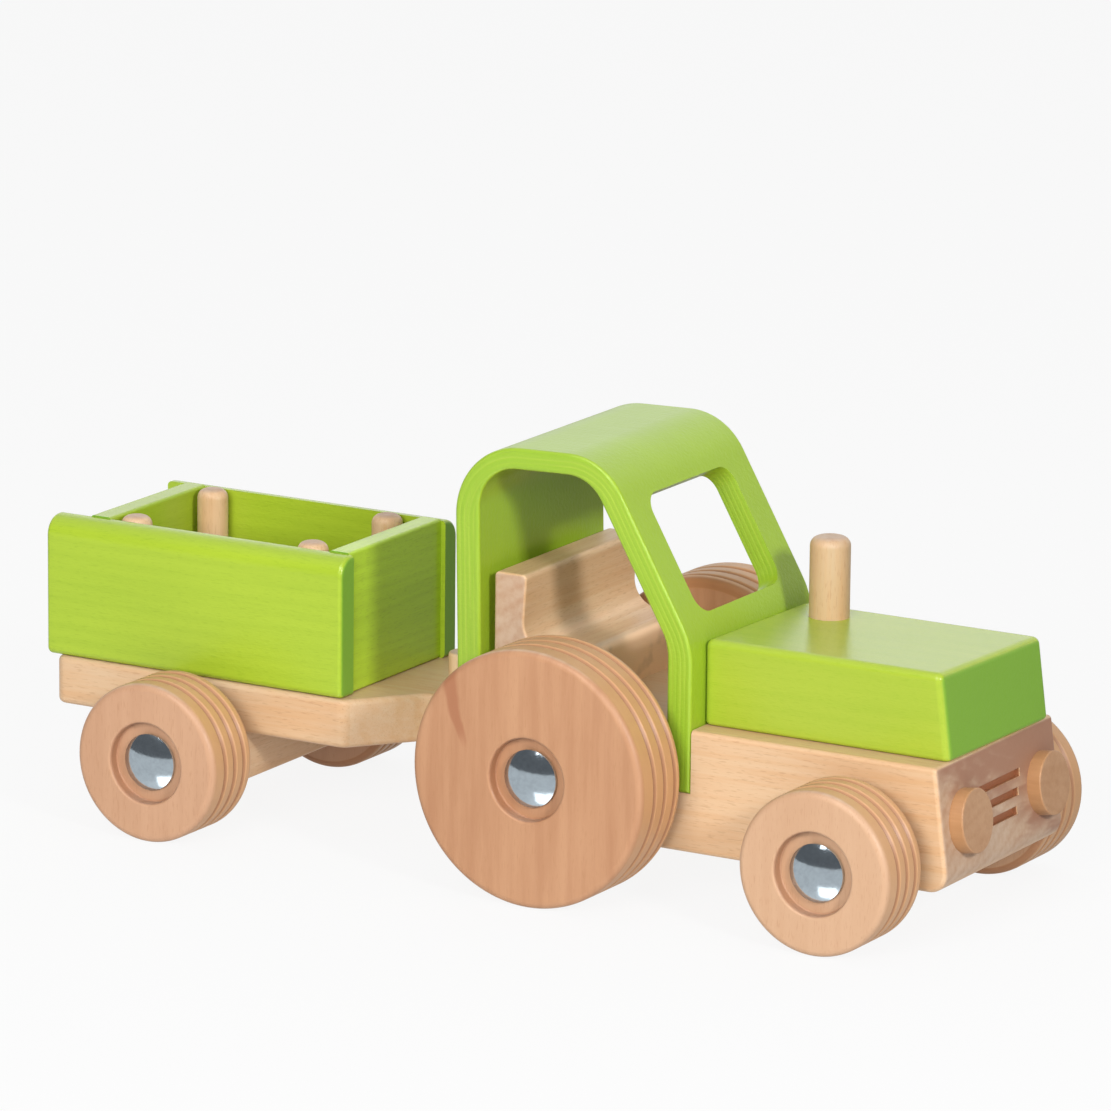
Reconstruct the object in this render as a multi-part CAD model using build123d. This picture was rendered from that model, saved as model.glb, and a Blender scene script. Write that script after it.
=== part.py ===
from build123d import *
import os
from math import atan, cos, degrees, radians, sin, tan

# A wooden toy tractor with a trailer hitched to it, in millimetres.
# X points forward, Y to the tractor's left and Z up from the floor. Lengths along X are
# counted from the rear axle; at the end every piece moves so that the origin lies on the
# floor under the middle of the whole toy.

# Stock and finish
AXLE_RADIUS = 3.0
DOWEL_RADIUS = 4.0
SMALL_DOWEL_RADIUS = 3.0
DOWEL_DEPTH = 11.0
EDGE_ROUND = 1.2
FINE_ROUND = 0.8
SLIGHT_ROUND = 0.4
RUNNING_CLEARANCE = 0.06
TOLERANCE = 0.01

# Chassis block, with a nose that leans forward on its way down
CHASSIS_HALF_WIDTH = 31.0
CHASSIS_REAR_X = -33.7
CHASSIS_BOTTOM = 13.3
CHASSIS_TOP = 44.35
NOSE_X = 100.0
NOSE_SLANT = 7.6
NOSE_BOTTOM_ROUND = 5.0
WHEELBASE = 79.4

# Cab, one strip of plywood bent over the seat
LEG_THICKNESS = 6.8
SLOPE_THICKNESS = 6.1
ROOF_THICKNESS = 5.4
CAB_FOOT = 28.3
CAB_FRONT_X = 32.4
CAB_REAR_LEAN = 1.2
CAB_ROOF_TOP = 109.4
CAB_ROOF_RISE = 1.7
CAB_WAIST = 65.6
WINDSCREEN_SLOPE = 30.0
REAR_BEND = 18.5
REAR_BEND_INSIDE = 10.8
ROOF_BEND = 17.0
WAIST_BEND = 20.0
WINDSCREEN_WIDTH = 41.6
WINDSCREEN_LENGTH = 32.2
WINDSCREEN_CORNER = 5.0
WINDSCREEN_SILL = 6.3
HOUSING_CLEARANCE = 0.3
CAB_DOWEL_INSET = 7.0
CAB_DOWEL_IN_WALL = 3.5
CAB_DOWEL_IN_CHASSIS = 10.0

# Seat moulding
SEAT_HALF_WIDTH = 28.0
SEAT_GAP = 1.9
SEAT_DEPTH = 22.5
SEAT_HEIGHT = 13.0
BACKREST_HEIGHT = 31.9
BACKREST_TOP_THICKNESS = 9.2
BACKREST_FOOT_THICKNESS = 7.9
SEAT_HOLLOW = 7.0
SEAT_LIP = 2.5
SEAT_DOWEL_INSET = 12.0

# Hood, exhaust and nose fittings
HOOD_HALF_WIDTH = 25.5
HOOD_HEIGHT = 21.2
HOOD_OFFSET = 1.0
HOOD_FALL = 1.0
HOOD_AHEAD = 0.9
HOOD_SKEW = 1.1
HOOD_ROUND = 2.0
HOOD_DOWEL_INSET = 16.0
EXHAUST_RADIUS = 5.1
EXHAUST_AHEAD = 13.3
EXHAUST_Y = 14.9
EXHAUST_HEIGHT = 20.2
EXHAUST_DEPTH = 14.0
PEG_ROUND = 2.4
HEADLIGHT_RADIUS = 8.0
HEADLIGHT_PROUD = 3.7
HEADLIGHT_INSET = 10.4
HEADLIGHT_OFFSET = 1.5
HEADLIGHT_Z = 29.2
TENON_LENGTH = 8.0
GRILLE_SLOTS = 3
GRILLE_Z = 30.0
GRILLE_WIDTH = 22.4
GRILLE_TAPER = 3.2
GRILLE_SLOT = 2.1
GRILLE_PITCH = 4.4
GRILLE_DEPTH = 1.4

# Wheels, caps and axles
REAR_WHEEL_RADIUS = 32.5
REAR_WHEEL_WIDTH = 20.0
REAR_WHEEL_GAP = 3.9
REAR_BOSS = 3.3
REAR_GROOVE_START = 6.8
REAR_GROOVE_PITCH = 5.0
SMALL_WHEEL_RADIUS = 20.5
SMALL_WHEEL_WIDTH = 18.4
SMALL_WHEEL_GAP = 2.75
SMALL_WHEEL_FLOAT = 2.25
SMALL_BOSS = 0.3
SMALL_GROOVE_START = 5.9
SMALL_GROOVE_PITCH = 4.3
TREAD_GROOVES = 3
GROOVE_WIDTH = 2.0
GROOVE_DEPTH = 0.9
RIM_ROUND = 1.8
BOSS_RADIUS = 9.0
RECESS_RADIUS = 10.4
RECESS_DEPTH = 3.05
CAP_RADIUS = 7.25
CAP_PLAY = 0.3
CAP_RIM = 0.7
CAP_DOME = 2.0
CAP_WALL = 0.6
CAP_COLLAR = 1.1
CAP_BORE_DEPTH = 1.5
AXLE_END_GAP = 0.1

# Hitch: a drawbar under the chassis with an upright pin
HITCH_X = -50.5
HITCH_PIN_TOP = 46.4
DRAWBAR_HALF_WIDTH = 9.0
DRAWBAR_CORNER = 5.5
DRAWBAR_THICKNESS = 10.9
DRAWBAR_TAIL = 8.0
DRAWBAR_HOUSING = 18.0
TONGUE_LIFT = 0.4

# Trailer base
BASE_THICKNESS = 12.5
BASE_HALF_WIDTH = 28.7
BASE_LENGTH = 86.9
BASE_TO_HITCH = 18.3
TONGUE_HALF_WIDTH = 10.0
TONGUE_AHEAD = 13.7
NECK_LENGTH = 15.0
NECK_ROUND = 10.0
BASE_CORNER = 3.0
BASE_SHOULDER_ROUND = 4.0
BASE_EDGE_ROUND = 1.5
TRAILER_AXLE_AHEAD = 0.95
AXLE_BLOCK_LENGTH = 25.0
AXLE_BLOCK_HEIGHT = 12.9
BLOCK_DOWEL_X = 7.5
BLOCK_DOWEL_Y = 15.0
BLOCK_DOWEL_DEPTH = 8.0

# Trailer box, a loose frame that stands over four stakes
BOARD_THICKNESS = 6.0
BOX_HALF_WIDTH = 28.2
BOX_LENGTH = 88.8
BOX_OVERHANG = 2.8
LEFT_SIDE_SHORTER = 4.3
SIDE_HEIGHT = 36.2
END_HEIGHT = 36.6
FRONT_INSET = 1.3
REAR_INSET = 9.9
SIDE_TOP_ROUND = 5.0
SIDE_BOTTOM_ROUND = 1.8
SIDE_END_ROUND = 1.2
STAKE_HEIGHT = 37.1
STAKE_DEPTH = 9.0
STAKE_SIDE_GAP = 0.3
STAKE_REAR_GAP = 1.1
STAKE_FRONT_GAP = 3.5
PIN_RADIUS = 1.5
PIN_IN_SIDE = 3.5
PIN_IN_END = 8.0
PIN_HOLE_END = 0.5
PIN_INSET = 9.0

# Places that follow from the sizes above
nose_tan = tan(radians(NOSE_SLANT))
lean_tan = tan(radians(CAB_REAR_LEAN))
rise_tan = tan(radians(CAB_ROOF_RISE))
slope_tan = tan(radians(WINDSCREEN_SLOPE))
cab_dowel_y = CHASSIS_HALF_WIDTH - CAB_DOWEL_INSET
seat_dowel_y = SEAT_HALF_WIDTH - SEAT_DOWEL_INSET
headlight_left_y = HEADLIGHT_OFFSET + CHASSIS_HALF_WIDTH - HEADLIGHT_INSET
headlight_right_y = HEADLIGHT_OFFSET - CHASSIS_HALF_WIDTH + HEADLIGHT_INSET
hood_top = CHASSIS_TOP + HOOD_HEIGHT
rear_side = CHASSIS_HALF_WIDTH + REAR_WHEEL_GAP + REAR_WHEEL_WIDTH
small_side = CHASSIS_HALF_WIDTH + SMALL_WHEEL_GAP + SMALL_WHEEL_WIDTH
drawbar_top = CHASSIS_BOTTOM + DRAWBAR_THICKNESS
base_bottom = drawbar_top + TONGUE_LIFT
base_top = base_bottom + BASE_THICKNESS
base_front = HITCH_X - BASE_TO_HITCH
base_rear = base_front - BASE_LENGTH
trailer_axle_x = (base_front + base_rear) / 2 + TRAILER_AXLE_AHEAD
block_bottom = base_bottom - AXLE_BLOCK_HEIGHT
box_rear = base_rear - BOX_OVERHANG
box_front = box_rear + BOX_LENGTH
box_inner_half = BOX_HALF_WIDTH - BOARD_THICKNESS
front_board = box_front - FRONT_INSET - BOARD_THICKNESS
rear_board = box_rear + REAR_INSET
stake_y = box_inner_half - STAKE_SIDE_GAP - DOWEL_RADIUS
stake_front_x = front_board - STAKE_FRONT_GAP - DOWEL_RADIUS
stake_rear_x = rear_board + BOARD_THICKNESS + STAKE_REAR_GAP + DOWEL_RADIUS


def nose_x(z):
    """X of the slanting nose at height z."""
    return NOSE_X + (CHASSIS_TOP - z) * nose_tan


def cab_rear_x(z):
    """X of the outer face of the cab's leaning rear wall at height z."""
    return CHASSIS_REAR_X - (z - CAB_FOOT) * lean_tan


def cab_rear_inner_x(z):
    """X of the inner face of the cab's rear wall at height z."""
    return cab_rear_x(z) + LEG_THICKNESS


def block(x0, x1, y0, y1, z0, z1):
    """A box between two corners."""
    return Pos((x0 + x1) / 2, (y0 + y1) / 2, (z0 + z1) / 2) * Box(x1 - x0, y1 - y0, z1 - z0)


def rounded_face(corners):
    """A flat face from (x, y, radius) corners."""
    points = [(x, y) for x, y, _ in corners]
    radii = [radius for _, _, radius in corners]
    return make_face(FilletPolyline(*points, radius=radii, close=True))


def profile(corners):
    """A face in the XZ plane from (x, z, radius) corners."""
    return Plane.XZ * rounded_face(corners)


def across(face, half_width, edge_round):
    """The XZ face made as wide as half_width each side, with its side edges rounded."""
    solid = extrude(face, amount=half_width, both=True)
    sides = solid.faces().filter_by(Axis.Y)
    return fillet(sides.edges(), edge_round)


def upright(x, y, z0, z1, radius, top_round=0.0):
    """A vertical dowel or hole."""
    peg = Pos(x, y, (z0 + z1) / 2) * Cylinder(radius, z1 - z0)
    if top_round:
        peg = fillet(peg.edges().group_by(Axis.Z)[-1], top_round)
    return peg


def crosswise(x, z, y0, y1, radius):
    """A rod or hole along Y."""
    return Pos(x, (y0 + y1) / 2, z) * Rot(90, 0, 0) * Cylinder(radius, y1 - y0)


def nose_plane(y, z):
    """A plane on the nose, facing out of it."""
    slant = radians(NOSE_SLANT)
    return Plane(origin=(nose_x(z), y, z), x_dir=(0, 1, 0), z_dir=(cos(slant), 0, sin(slant)))


# Tractor

hood_dowel_x = {
    "front": NOSE_X - HOOD_DOWEL_INSET,
    "rear": CAB_FRONT_X + HOOD_DOWEL_INSET,
}
seat_back = cab_rear_inner_x(CHASSIS_TOP) + SEAT_GAP
seat_dowel_x = seat_back + SEAT_DEPTH / 2
exhaust_x = CAB_FRONT_X + EXHAUST_AHEAD


def make_hood_dowel(x):
    return upright(x, 0, CHASSIS_TOP - DOWEL_DEPTH, CHASSIS_TOP + DOWEL_DEPTH, DOWEL_RADIUS)


def make_seat_dowel(y):
    top = CHASSIS_TOP + SEAT_HEIGHT / 2
    return upright(seat_dowel_x, y, CHASSIS_TOP - DOWEL_DEPTH, top, DOWEL_RADIUS)


def make_cab_dowel(y):
    """A blind dowel that ties the foot of the cab's rear wall to the chassis."""
    z = (CAB_FOOT + CHASSIS_TOP) / 2
    wall = cab_rear_inner_x(z)
    length = CAB_DOWEL_IN_WALL + CAB_DOWEL_IN_CHASSIS
    middle = wall + (CAB_DOWEL_IN_CHASSIS - CAB_DOWEL_IN_WALL) / 2
    return Pos(middle, y, z) * Rot(0, 90, 0) * Cylinder(SMALL_DOWEL_RADIUS, length)


def make_drawbar():
    rear = HITCH_X - DRAWBAR_TAIL
    front = CHASSIS_REAR_X + DRAWBAR_HOUSING
    bar = block(rear, front, -DRAWBAR_HALF_WIDTH, DRAWBAR_HALF_WIDTH, CHASSIS_BOTTOM, drawbar_top)
    corners = bar.edges().filter_by(Axis.Z).group_by(Axis.X)[0]
    bar = fillet(corners, DRAWBAR_CORNER)
    return bar - upright(HITCH_X, 0, CHASSIS_BOTTOM - 1, drawbar_top + 1, DOWEL_RADIUS)


def make_hitch_pin():
    return upright(HITCH_X, 0, CHASSIS_BOTTOM, HITCH_PIN_TOP, DOWEL_RADIUS, FINE_ROUND)


def make_chassis():
    outline = profile([
        (CHASSIS_REAR_X, CHASSIS_BOTTOM, EDGE_ROUND),
        (CHASSIS_REAR_X, CAB_FOOT, 0),
        (cab_rear_inner_x(CAB_FOOT), CAB_FOOT, 0),
        (cab_rear_inner_x(CHASSIS_TOP), CHASSIS_TOP, 0),
        (NOSE_X, CHASSIS_TOP, EDGE_ROUND),
        (nose_x(CHASSIS_BOTTOM), CHASSIS_BOTTOM, NOSE_BOTTOM_ROUND),
    ])
    body = across(outline, CHASSIS_HALF_WIDTH, EDGE_ROUND)
    wide = CHASSIS_HALF_WIDTH + 1
    body -= block(
        CAB_FRONT_X - LEG_THICKNESS, CAB_FRONT_X + HOUSING_CLEARANCE,
        -wide, wide, CAB_FOOT, CHASSIS_TOP + 1,
    )
    body -= block(
        CHASSIS_REAR_X - 1, CHASSIS_REAR_X + DRAWBAR_HOUSING,
        -DRAWBAR_HALF_WIDTH, DRAWBAR_HALF_WIDTH, CHASSIS_BOTTOM - 1, drawbar_top,
    )
    body -= crosswise(0, REAR_WHEEL_RADIUS, -wide, wide, AXLE_RADIUS)
    body -= crosswise(WHEELBASE, SMALL_WHEEL_RADIUS, -wide, wide, AXLE_RADIUS)
    for x in hood_dowel_x.values():
        body -= make_hood_dowel(x)
    for side in (-1, 1):
        body -= make_seat_dowel(side * seat_dowel_y)
        body -= make_cab_dowel(side * cab_dowel_y)
    tenon = Cylinder(SMALL_DOWEL_RADIUS, 2 * TENON_LENGTH)
    for y in (headlight_left_y, headlight_right_y):
        body -= nose_plane(y, HEADLIGHT_Z) * tenon
    middle = (GRILLE_SLOTS - 1) / 2
    for n in range(GRILLE_SLOTS):
        z = GRILLE_Z + (middle - n) * GRILLE_PITCH
        width = GRILLE_WIDTH - n * GRILLE_TAPER
        body -= nose_plane(0, z) * Box(width, GRILLE_SLOT, 2 * GRILLE_DEPTH)
    return body


def hood_side(side):
    """The outline of the hood's left (1) or right (-1) side: the left is lower and reaches further."""
    top = hood_top - side * HOOD_FALL / 2
    ahead = HOOD_AHEAD + side * HOOD_SKEW / 2
    outline = profile([
        (CAB_FRONT_X, CHASSIS_TOP, 0),
        (CAB_FRONT_X, top, 0),
        (nose_x(top) + ahead, top, 0),
        (NOSE_X + ahead, CHASSIS_TOP, 0),
    ])
    return Pos(0, HOOD_OFFSET + side * HOOD_HALF_WIDTH, 0) * outline


def make_hood():
    body = loft([hood_side(-1), hood_side(1)], ruled=True)
    bottom = body.edges().group_by(Axis.Z)[0]
    body = fillet(body.edges() - bottom, HOOD_ROUND)
    body = fillet(body.faces().sort_by(Axis.Z)[0].edges(), EDGE_ROUND)
    for x in hood_dowel_x.values():
        body -= make_hood_dowel(x)
    return body - upright(exhaust_x, EXHAUST_Y, hood_top - EXHAUST_DEPTH, hood_top + 1, EXHAUST_RADIUS)


def make_exhaust_peg():
    bottom = hood_top - EXHAUST_DEPTH
    return upright(exhaust_x, EXHAUST_Y, bottom, hood_top + EXHAUST_HEIGHT, EXHAUST_RADIUS, PEG_ROUND)


def cab_corner(foot_x, lean, top):
    """Where a wall that would stand at foot_x on the floor meets the rising roof line."""
    z = (top + foot_x * rise_tan) / (1 + lean * rise_tan)
    return foot_x - lean * z, z


def make_cab():
    slope = radians(WINDSCREEN_SLOPE)
    rear = cab_rear_x(0)
    front = CAB_FRONT_X + CAB_WAIST * slope_tan
    inner_front = front - SLOPE_THICKNESS / cos(slope)
    inner_leg = CAB_FRONT_X - LEG_THICKNESS
    inner_waist = (inner_front - inner_leg) / slope_tan
    ceiling = CAB_ROOF_TOP - ROOF_THICKNESS
    strip = profile([
        (cab_rear_x(CAB_FOOT), CAB_FOOT, 0),
        (*cab_corner(rear, lean_tan, CAB_ROOF_TOP), REAR_BEND),
        (*cab_corner(front, slope_tan, CAB_ROOF_TOP), ROOF_BEND),
        (CAB_FRONT_X, CAB_WAIST, WAIST_BEND),
        (CAB_FRONT_X, CAB_FOOT, 0),
        (inner_leg, CAB_FOOT, 0),
        (inner_leg, inner_waist, WAIST_BEND - LEG_THICKNESS),
        (*cab_corner(inner_front, slope_tan, ceiling), ROOF_BEND - SLOPE_THICKNESS),
        (*cab_corner(rear + LEG_THICKNESS, lean_tan, ceiling), REAR_BEND_INSIDE),
        (cab_rear_inner_x(CAB_FOOT), CAB_FOOT, 0),
    ])
    shell = across(strip, CHASSIS_HALF_WIDTH, FINE_ROUND)
    up_slope = WINDSCREEN_SILL + WINDSCREEN_LENGTH / 2
    centre = (CAB_FRONT_X - up_slope * sin(slope), 0, CAB_WAIST + up_slope * cos(slope))
    pane = Plane(origin=centre, x_dir=(0, 1, 0), z_dir=(cos(slope), 0, sin(slope)))
    opening = RectangleRounded(WINDSCREEN_WIDTH, WINDSCREEN_LENGTH, WINDSCREEN_CORNER)
    shell -= pane * extrude(opening, amount=2 * SLOPE_THICKNESS, both=True)
    return shell - make_cab_dowel(cab_dowel_y) - make_cab_dowel(-cab_dowel_y)


def make_seat():
    front = seat_back + SEAT_DEPTH
    top = CHASSIS_TOP + BACKREST_HEIGHT
    cushion = CHASSIS_TOP + SEAT_HEIGHT
    outline = profile([
        (seat_back, CHASSIS_TOP, FINE_ROUND),
        (seat_back, top, EDGE_ROUND),
        (seat_back + BACKREST_TOP_THICKNESS, top, EDGE_ROUND),
        (seat_back + BACKREST_FOOT_THICKNESS, cushion, SEAT_HOLLOW),
        (front, cushion, SEAT_LIP),
        (front, CHASSIS_TOP, 0),
    ])
    seat = across(outline, SEAT_HALF_WIDTH, FINE_ROUND)
    for side in (-1, 1):
        seat -= make_seat_dowel(side * seat_dowel_y)
    return seat


def make_headlight(y):
    """A turned button: a rounded disc on the nose with a tenon glued into it."""
    disc = Pos(0, 0, HEADLIGHT_PROUD / 2) * Cylinder(HEADLIGHT_RADIUS, HEADLIGHT_PROUD)
    disc = fillet(disc.edges().group_by(Axis.Z)[-1], SLIGHT_ROUND)
    tenon = Pos(0, 0, -TENON_LENGTH / 2) * Cylinder(SMALL_DOWEL_RADIUS, TENON_LENGTH)
    return nose_plane(y, HEADLIGHT_Z) * (disc + tenon)


# Wheels

def make_wheel(radius, width, boss_length, groove_start, groove_pitch):
    """A wheel on the Y axis: its outer face at y = 0, its hub boss towards -Y."""
    bore = AXLE_RADIUS + RUNNING_CLEARANCE
    boss = width + boss_length
    corners = [
        (bore, -boss, 0),
        (BOSS_RADIUS, -boss, 0),
        (BOSS_RADIUS, -width, 0),
        (radius, -width, RIM_ROUND),
    ]
    for n in reversed(range(TREAD_GROOVES)):
        depth = groove_start + n * groove_pitch
        corners += [
            (radius, -depth - GROOVE_WIDTH / 2, SLIGHT_ROUND),
            (radius - GROOVE_DEPTH, -depth, SLIGHT_ROUND),
            (radius, -depth + GROOVE_WIDTH / 2, SLIGHT_ROUND),
        ]
    corners += [
        (radius, 0, RIM_ROUND),
        (RECESS_RADIUS, 0, FINE_ROUND),
        (RECESS_RADIUS, -RECESS_DEPTH, SLIGHT_ROUND),
        (bore, -RECESS_DEPTH, 0),
    ]
    return revolve(rounded_face(corners), Axis.Y)


def make_cap():
    """A pressed cap on the Y axis, its rim at y = 0 and its dome towards +Y."""
    ball = (CAP_RADIUS**2 + CAP_DOME**2) / (2 * CAP_DOME)
    height = CAP_RIM + CAP_DOME
    drum = crosswise(0, 0, 0, height, CAP_RADIUS)
    dome = drum & (Pos(0, height - ball, 0) * Sphere(ball))
    collar = AXLE_RADIUS + CAP_COLLAR
    hollow = crosswise(0, 0, 0, CAP_RIM, CAP_RADIUS - CAP_WALL) - crosswise(0, 0, 0, CAP_RIM, collar)
    return dome - hollow - crosswise(0, 0, 0, CAP_BORE_DEPTH, AXLE_RADIUS)


def axle_set(parts, name, x, z, side, shift):
    """An axle along Y with a cap on each end. side is the |y| of the wheels' outer faces when
    the axle is centred, and shift moves the whole set along Y."""
    rim = side - RECESS_DEPTH + CAP_PLAY
    end = rim + CAP_BORE_DEPTH - AXLE_END_GAP
    parts[f"{name}_axle"] = crosswise(x, z, shift - end, shift + end, AXLE_RADIUS)
    cap = make_cap()
    parts[f"{name}_cap_left"] = Pos(x, shift + rim, z) * cap
    parts[f"{name}_cap_right"] = Pos(x, shift - rim, z) * Rot(0, 0, 180) * cap


def wheel_pair(parts, name, x, z, side, shift, wheel):
    parts[f"{name}_wheel_left"] = Pos(x, shift + side, z) * wheel
    parts[f"{name}_wheel_right"] = Pos(x, shift - side, z) * Rot(0, 0, 180) * wheel


# Trailer

block_dowels = {
    "front": (trailer_axle_x + BLOCK_DOWEL_X, BLOCK_DOWEL_Y),
    "rear": (trailer_axle_x - BLOCK_DOWEL_X, -BLOCK_DOWEL_Y),
}
stakes = {
    "front_left": (stake_front_x, stake_y),
    "front_right": (stake_front_x, -stake_y),
    "rear_left": (stake_rear_x, stake_y),
    "rear_right": (stake_rear_x, -stake_y),
}


def make_block_dowel(x, y):
    low = base_bottom - BLOCK_DOWEL_DEPTH
    return upright(x, y, low, base_bottom + BLOCK_DOWEL_DEPTH, SMALL_DOWEL_RADIUS)


def make_stake(x, y):
    return upright(x, y, base_top - STAKE_DEPTH, base_top + STAKE_HEIGHT, DOWEL_RADIUS, PEG_ROUND)


def make_trailer_base():
    neck = base_front + NECK_LENGTH
    tip = HITCH_X + TONGUE_AHEAD
    tip_round = TONGUE_HALF_WIDTH - FINE_ROUND
    half = [
        (base_rear, BASE_HALF_WIDTH, BASE_CORNER),
        (base_front, BASE_HALF_WIDTH, BASE_SHOULDER_ROUND),
        (neck, TONGUE_HALF_WIDTH, NECK_ROUND),
        (tip, TONGUE_HALF_WIDTH, tip_round),
    ]
    corners = half + [(x, -y, radius) for x, y, radius in reversed(half)]
    base = Pos(0, 0, base_bottom) * extrude(rounded_face(corners), amount=BASE_THICKNESS)
    base = fillet(base.faces().filter_by(Axis.Z).edges(), BASE_EDGE_ROUND)
    base -= upright(HITCH_X, 0, base_bottom - 1, base_top + 1, DOWEL_RADIUS + RUNNING_CLEARANCE)
    for x, y in stakes.values():
        base -= make_stake(x, y)
    for x, y in block_dowels.values():
        base -= make_block_dowel(x, y)
    return base


def make_axle_block():
    half = AXLE_BLOCK_LENGTH / 2
    beam = block(
        trailer_axle_x - half, trailer_axle_x + half,
        -CHASSIS_HALF_WIDTH, CHASSIS_HALF_WIDTH, block_bottom, base_bottom,
    )
    beam = fillet(beam.faces().sort_by(Axis.Z)[0].edges(), FINE_ROUND)
    wide = CHASSIS_HALF_WIDTH + 1
    beam -= crosswise(trailer_axle_x, SMALL_WHEEL_RADIUS, -wide, wide, AXLE_RADIUS)
    for x, y in block_dowels.values():
        beam -= make_block_dowel(x, y)
    return beam


def make_corner_pins(board_x, hole_end=0.0):
    """The four pins that hold one end board between the side boards. hole_end makes them
    longer at each end, as the drilled holes are."""
    x = board_x + BOARD_THICKNESS / 2
    pins = []
    for side in (-1, 1):
        inner = side * (box_inner_half - PIN_IN_END - hole_end)
        outer = side * (box_inner_half + PIN_IN_SIDE + hole_end)
        for z in (base_top + PIN_INSET, base_top + END_HEIGHT - PIN_INSET):
            pins.append(crosswise(x, z, min(inner, outer), max(inner, outer), PIN_RADIUS))
    return pins


def make_side_board(side):
    """side is 1 on the left and -1 on the right. The left board is a little shorter."""
    outer = side * BOX_HALF_WIDTH
    inner = side * box_inner_half
    top = base_top + SIDE_HEIGHT
    rear = box_rear + (LEFT_SIDE_SHORTER if side > 0 else 0)
    section = Plane.YZ * rounded_face([
        (inner, base_top, 0),
        (inner, top, 0),
        (outer, top, SIDE_TOP_ROUND),
        (outer, base_top, SIDE_BOTTOM_ROUND),
    ])
    board = Pos(rear, 0, 0) * extrude(section, amount=box_front - rear)
    end_edges = board.faces().filter_by(Axis.X).edges()
    outer_edges = end_edges.filter_by(lambda edge: abs(edge.center().Y - inner) > TOLERANCE)
    board = fillet(outer_edges, SIDE_END_ROUND)
    for board_x in (front_board, rear_board):
        for hole in make_corner_pins(board_x, PIN_HOLE_END):
            board -= hole
    return board


def make_end_board(board_x):
    board = block(
        board_x, board_x + BOARD_THICKNESS,
        -box_inner_half, box_inner_half, base_top, base_top + END_HEIGHT,
    )
    long_edges = board.edges().filter_by(Axis.Y)
    board = fillet(long_edges, FINE_ROUND)
    for hole in make_corner_pins(board_x, PIN_HOLE_END):
        board -= hole
    return board


def build():
    parts = {
        "chassis": make_chassis(),
        "drawbar": make_drawbar(),
        "hitch_pin": make_hitch_pin(),
        "hood": make_hood(),
        "exhaust_peg": make_exhaust_peg(),
        "cab": make_cab(),
        "seat": make_seat(),
        "headlight_left": make_headlight(headlight_left_y),
        "headlight_right": make_headlight(headlight_right_y),
        "seat_dowel_left": make_seat_dowel(seat_dowel_y),
        "seat_dowel_right": make_seat_dowel(-seat_dowel_y),
        "cab_dowel_left": make_cab_dowel(cab_dowel_y),
        "cab_dowel_right": make_cab_dowel(-cab_dowel_y),
    }
    for place, x in hood_dowel_x.items():
        parts[f"hood_dowel_{place}"] = make_hood_dowel(x)

    rear_wheel = make_wheel(
        REAR_WHEEL_RADIUS, REAR_WHEEL_WIDTH, REAR_BOSS, REAR_GROOVE_START, REAR_GROOVE_PITCH
    )
    small_wheel = make_wheel(
        SMALL_WHEEL_RADIUS, SMALL_WHEEL_WIDTH, SMALL_BOSS, SMALL_GROOVE_START, SMALL_GROOVE_PITCH
    )
    for name, x, radius, side, shift, wheel in (
        ("rear", 0, REAR_WHEEL_RADIUS, rear_side, 0, rear_wheel),
        ("front", WHEELBASE, SMALL_WHEEL_RADIUS, small_side, -SMALL_WHEEL_FLOAT, small_wheel),
        ("trailer", trailer_axle_x, SMALL_WHEEL_RADIUS, small_side, -SMALL_WHEEL_FLOAT, small_wheel),
    ):
        axle_set(parts, name, x, radius, side, shift)
        wheel_pair(parts, name, x, radius, side, shift, wheel)

    parts["trailer_base"] = make_trailer_base()
    parts["trailer_axle_block"] = make_axle_block()
    for place, (x, y) in block_dowels.items():
        parts[f"axle_block_dowel_{place}"] = make_block_dowel(x, y)
    for place, (x, y) in stakes.items():
        parts[f"stake_{place}"] = make_stake(x, y)
    parts["side_board_left"] = make_side_board(1)
    parts["side_board_right"] = make_side_board(-1)
    parts["end_board_front"] = make_end_board(front_board)
    parts["end_board_rear"] = make_end_board(rear_board)
    parts["corner_pins_front"] = Part() + make_corner_pins(front_board)
    parts["corner_pins_rear"] = Part() + make_corner_pins(rear_board)
    return parts


parts = build()
extents = [shape.bounding_box() for shape in parts.values()]
toy_middle = (min(box.min.X for box in extents) + max(box.max.X for box in extents)) / 2
os.makedirs("parts", exist_ok=True)
for name, shape in parts.items():
    export_step(Pos(-toy_middle, 0, 0) * shape, f"parts/{name}.step")
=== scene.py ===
import math
from functools import partial

import bpy
from mathutils import Matrix, Vector


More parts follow.
